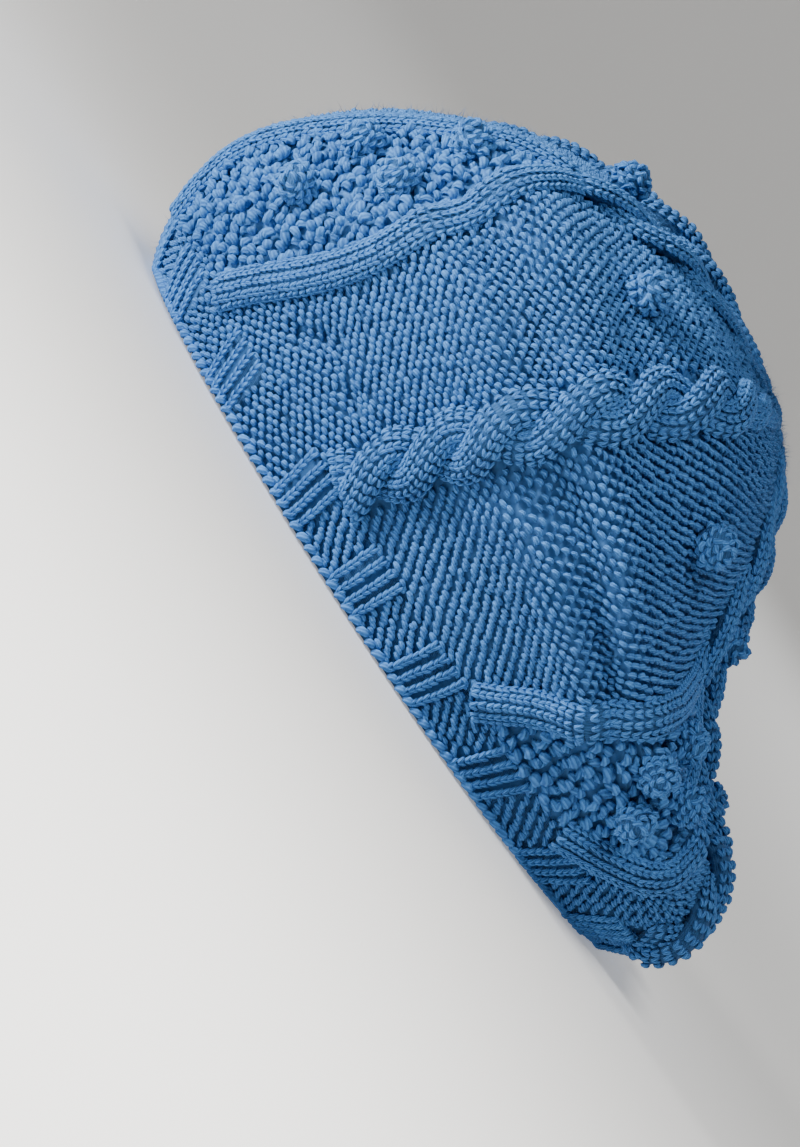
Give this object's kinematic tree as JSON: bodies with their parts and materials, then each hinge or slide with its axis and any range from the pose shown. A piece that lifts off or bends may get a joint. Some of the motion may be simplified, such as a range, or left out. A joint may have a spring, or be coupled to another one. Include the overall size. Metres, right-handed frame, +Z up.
{
  "type": "knitted beret",
  "caption": "Slouchy hand-knitted beret with a ribbed band, raised rope cables, leaf panels and knitted bobbles, hollow and open below for a head.",
  "frame": {"origin": "middle of the hat's bounding box on the surface that its rim rests on", "axes": "+Z up through the crown, -Y towards the front of the hat, +X towards the wearer's left"},
  "size_m": [0.2266, 0.2734, 0.1373],
  "materials": {
    "crown_knit": "matt wool-like yarn, purl side out",
    "band_knit": "matt wool-like yarn, ribbed",
    "cable_knit": "matt wool-like yarn, smooth knit wales",
    "bobble_knit": "matt wool-like yarn, knotted bobbles"
  },
  "bodies": {
    "root": {"band": "band_knit", "crown": "crown_knit", "rope_cable_1": "cable_knit", "rope_cable_2": "cable_knit", "rope_cable_3": "cable_knit", "rope_cable_4": "cable_knit", "leaf_column_1a": "cable_knit", "leaf_column_1b": "cable_knit", "leaf_column_2a": "cable_knit", "leaf_column_2b": "cable_knit", "leaf_column_3a": "cable_knit", "leaf_column_3b": "cable_knit", "leaf_column_4a": "cable_knit", "leaf_column_4b": "cable_knit", "tip_rope_1": "cable_knit", "tip_rope_2": "cable_knit", "tip_rope_3": "cable_knit", "tip_rope_4": "cable_knit", "leaf_bobble_1_1": "bobble_knit", "leaf_bobble_1_2": "bobble_knit", "leaf_bobble_1_3": "bobble_knit", "leaf_bobble_1_4": "bobble_knit", "leaf_bobble_2_1": "bobble_knit", "leaf_bobble_2_2": "bobble_knit", "leaf_bobble_2_3": "bobble_knit", "leaf_bobble_2_4": "bobble_knit", "leaf_bobble_3_1": "bobble_knit", "leaf_bobble_3_2": "bobble_knit", "leaf_bobble_3_3": "bobble_knit", "leaf_bobble_3_4": "bobble_knit", "leaf_bobble_4_1": "bobble_knit", "leaf_bobble_4_2": "bobble_knit", "leaf_bobble_4_3": "bobble_knit", "leaf_bobble_4_4": "bobble_knit", "wedge_bobble_1a": "bobble_knit", "wedge_bobble_1b": "bobble_knit", "wedge_bobble_2a": "bobble_knit", "wedge_bobble_2b": "bobble_knit", "wedge_bobble_3a": "bobble_knit", "wedge_bobble_3b": "bobble_knit", "wedge_bobble_4a": "bobble_knit", "wedge_bobble_4b": "bobble_knit"}
  },
  "joints": []
}
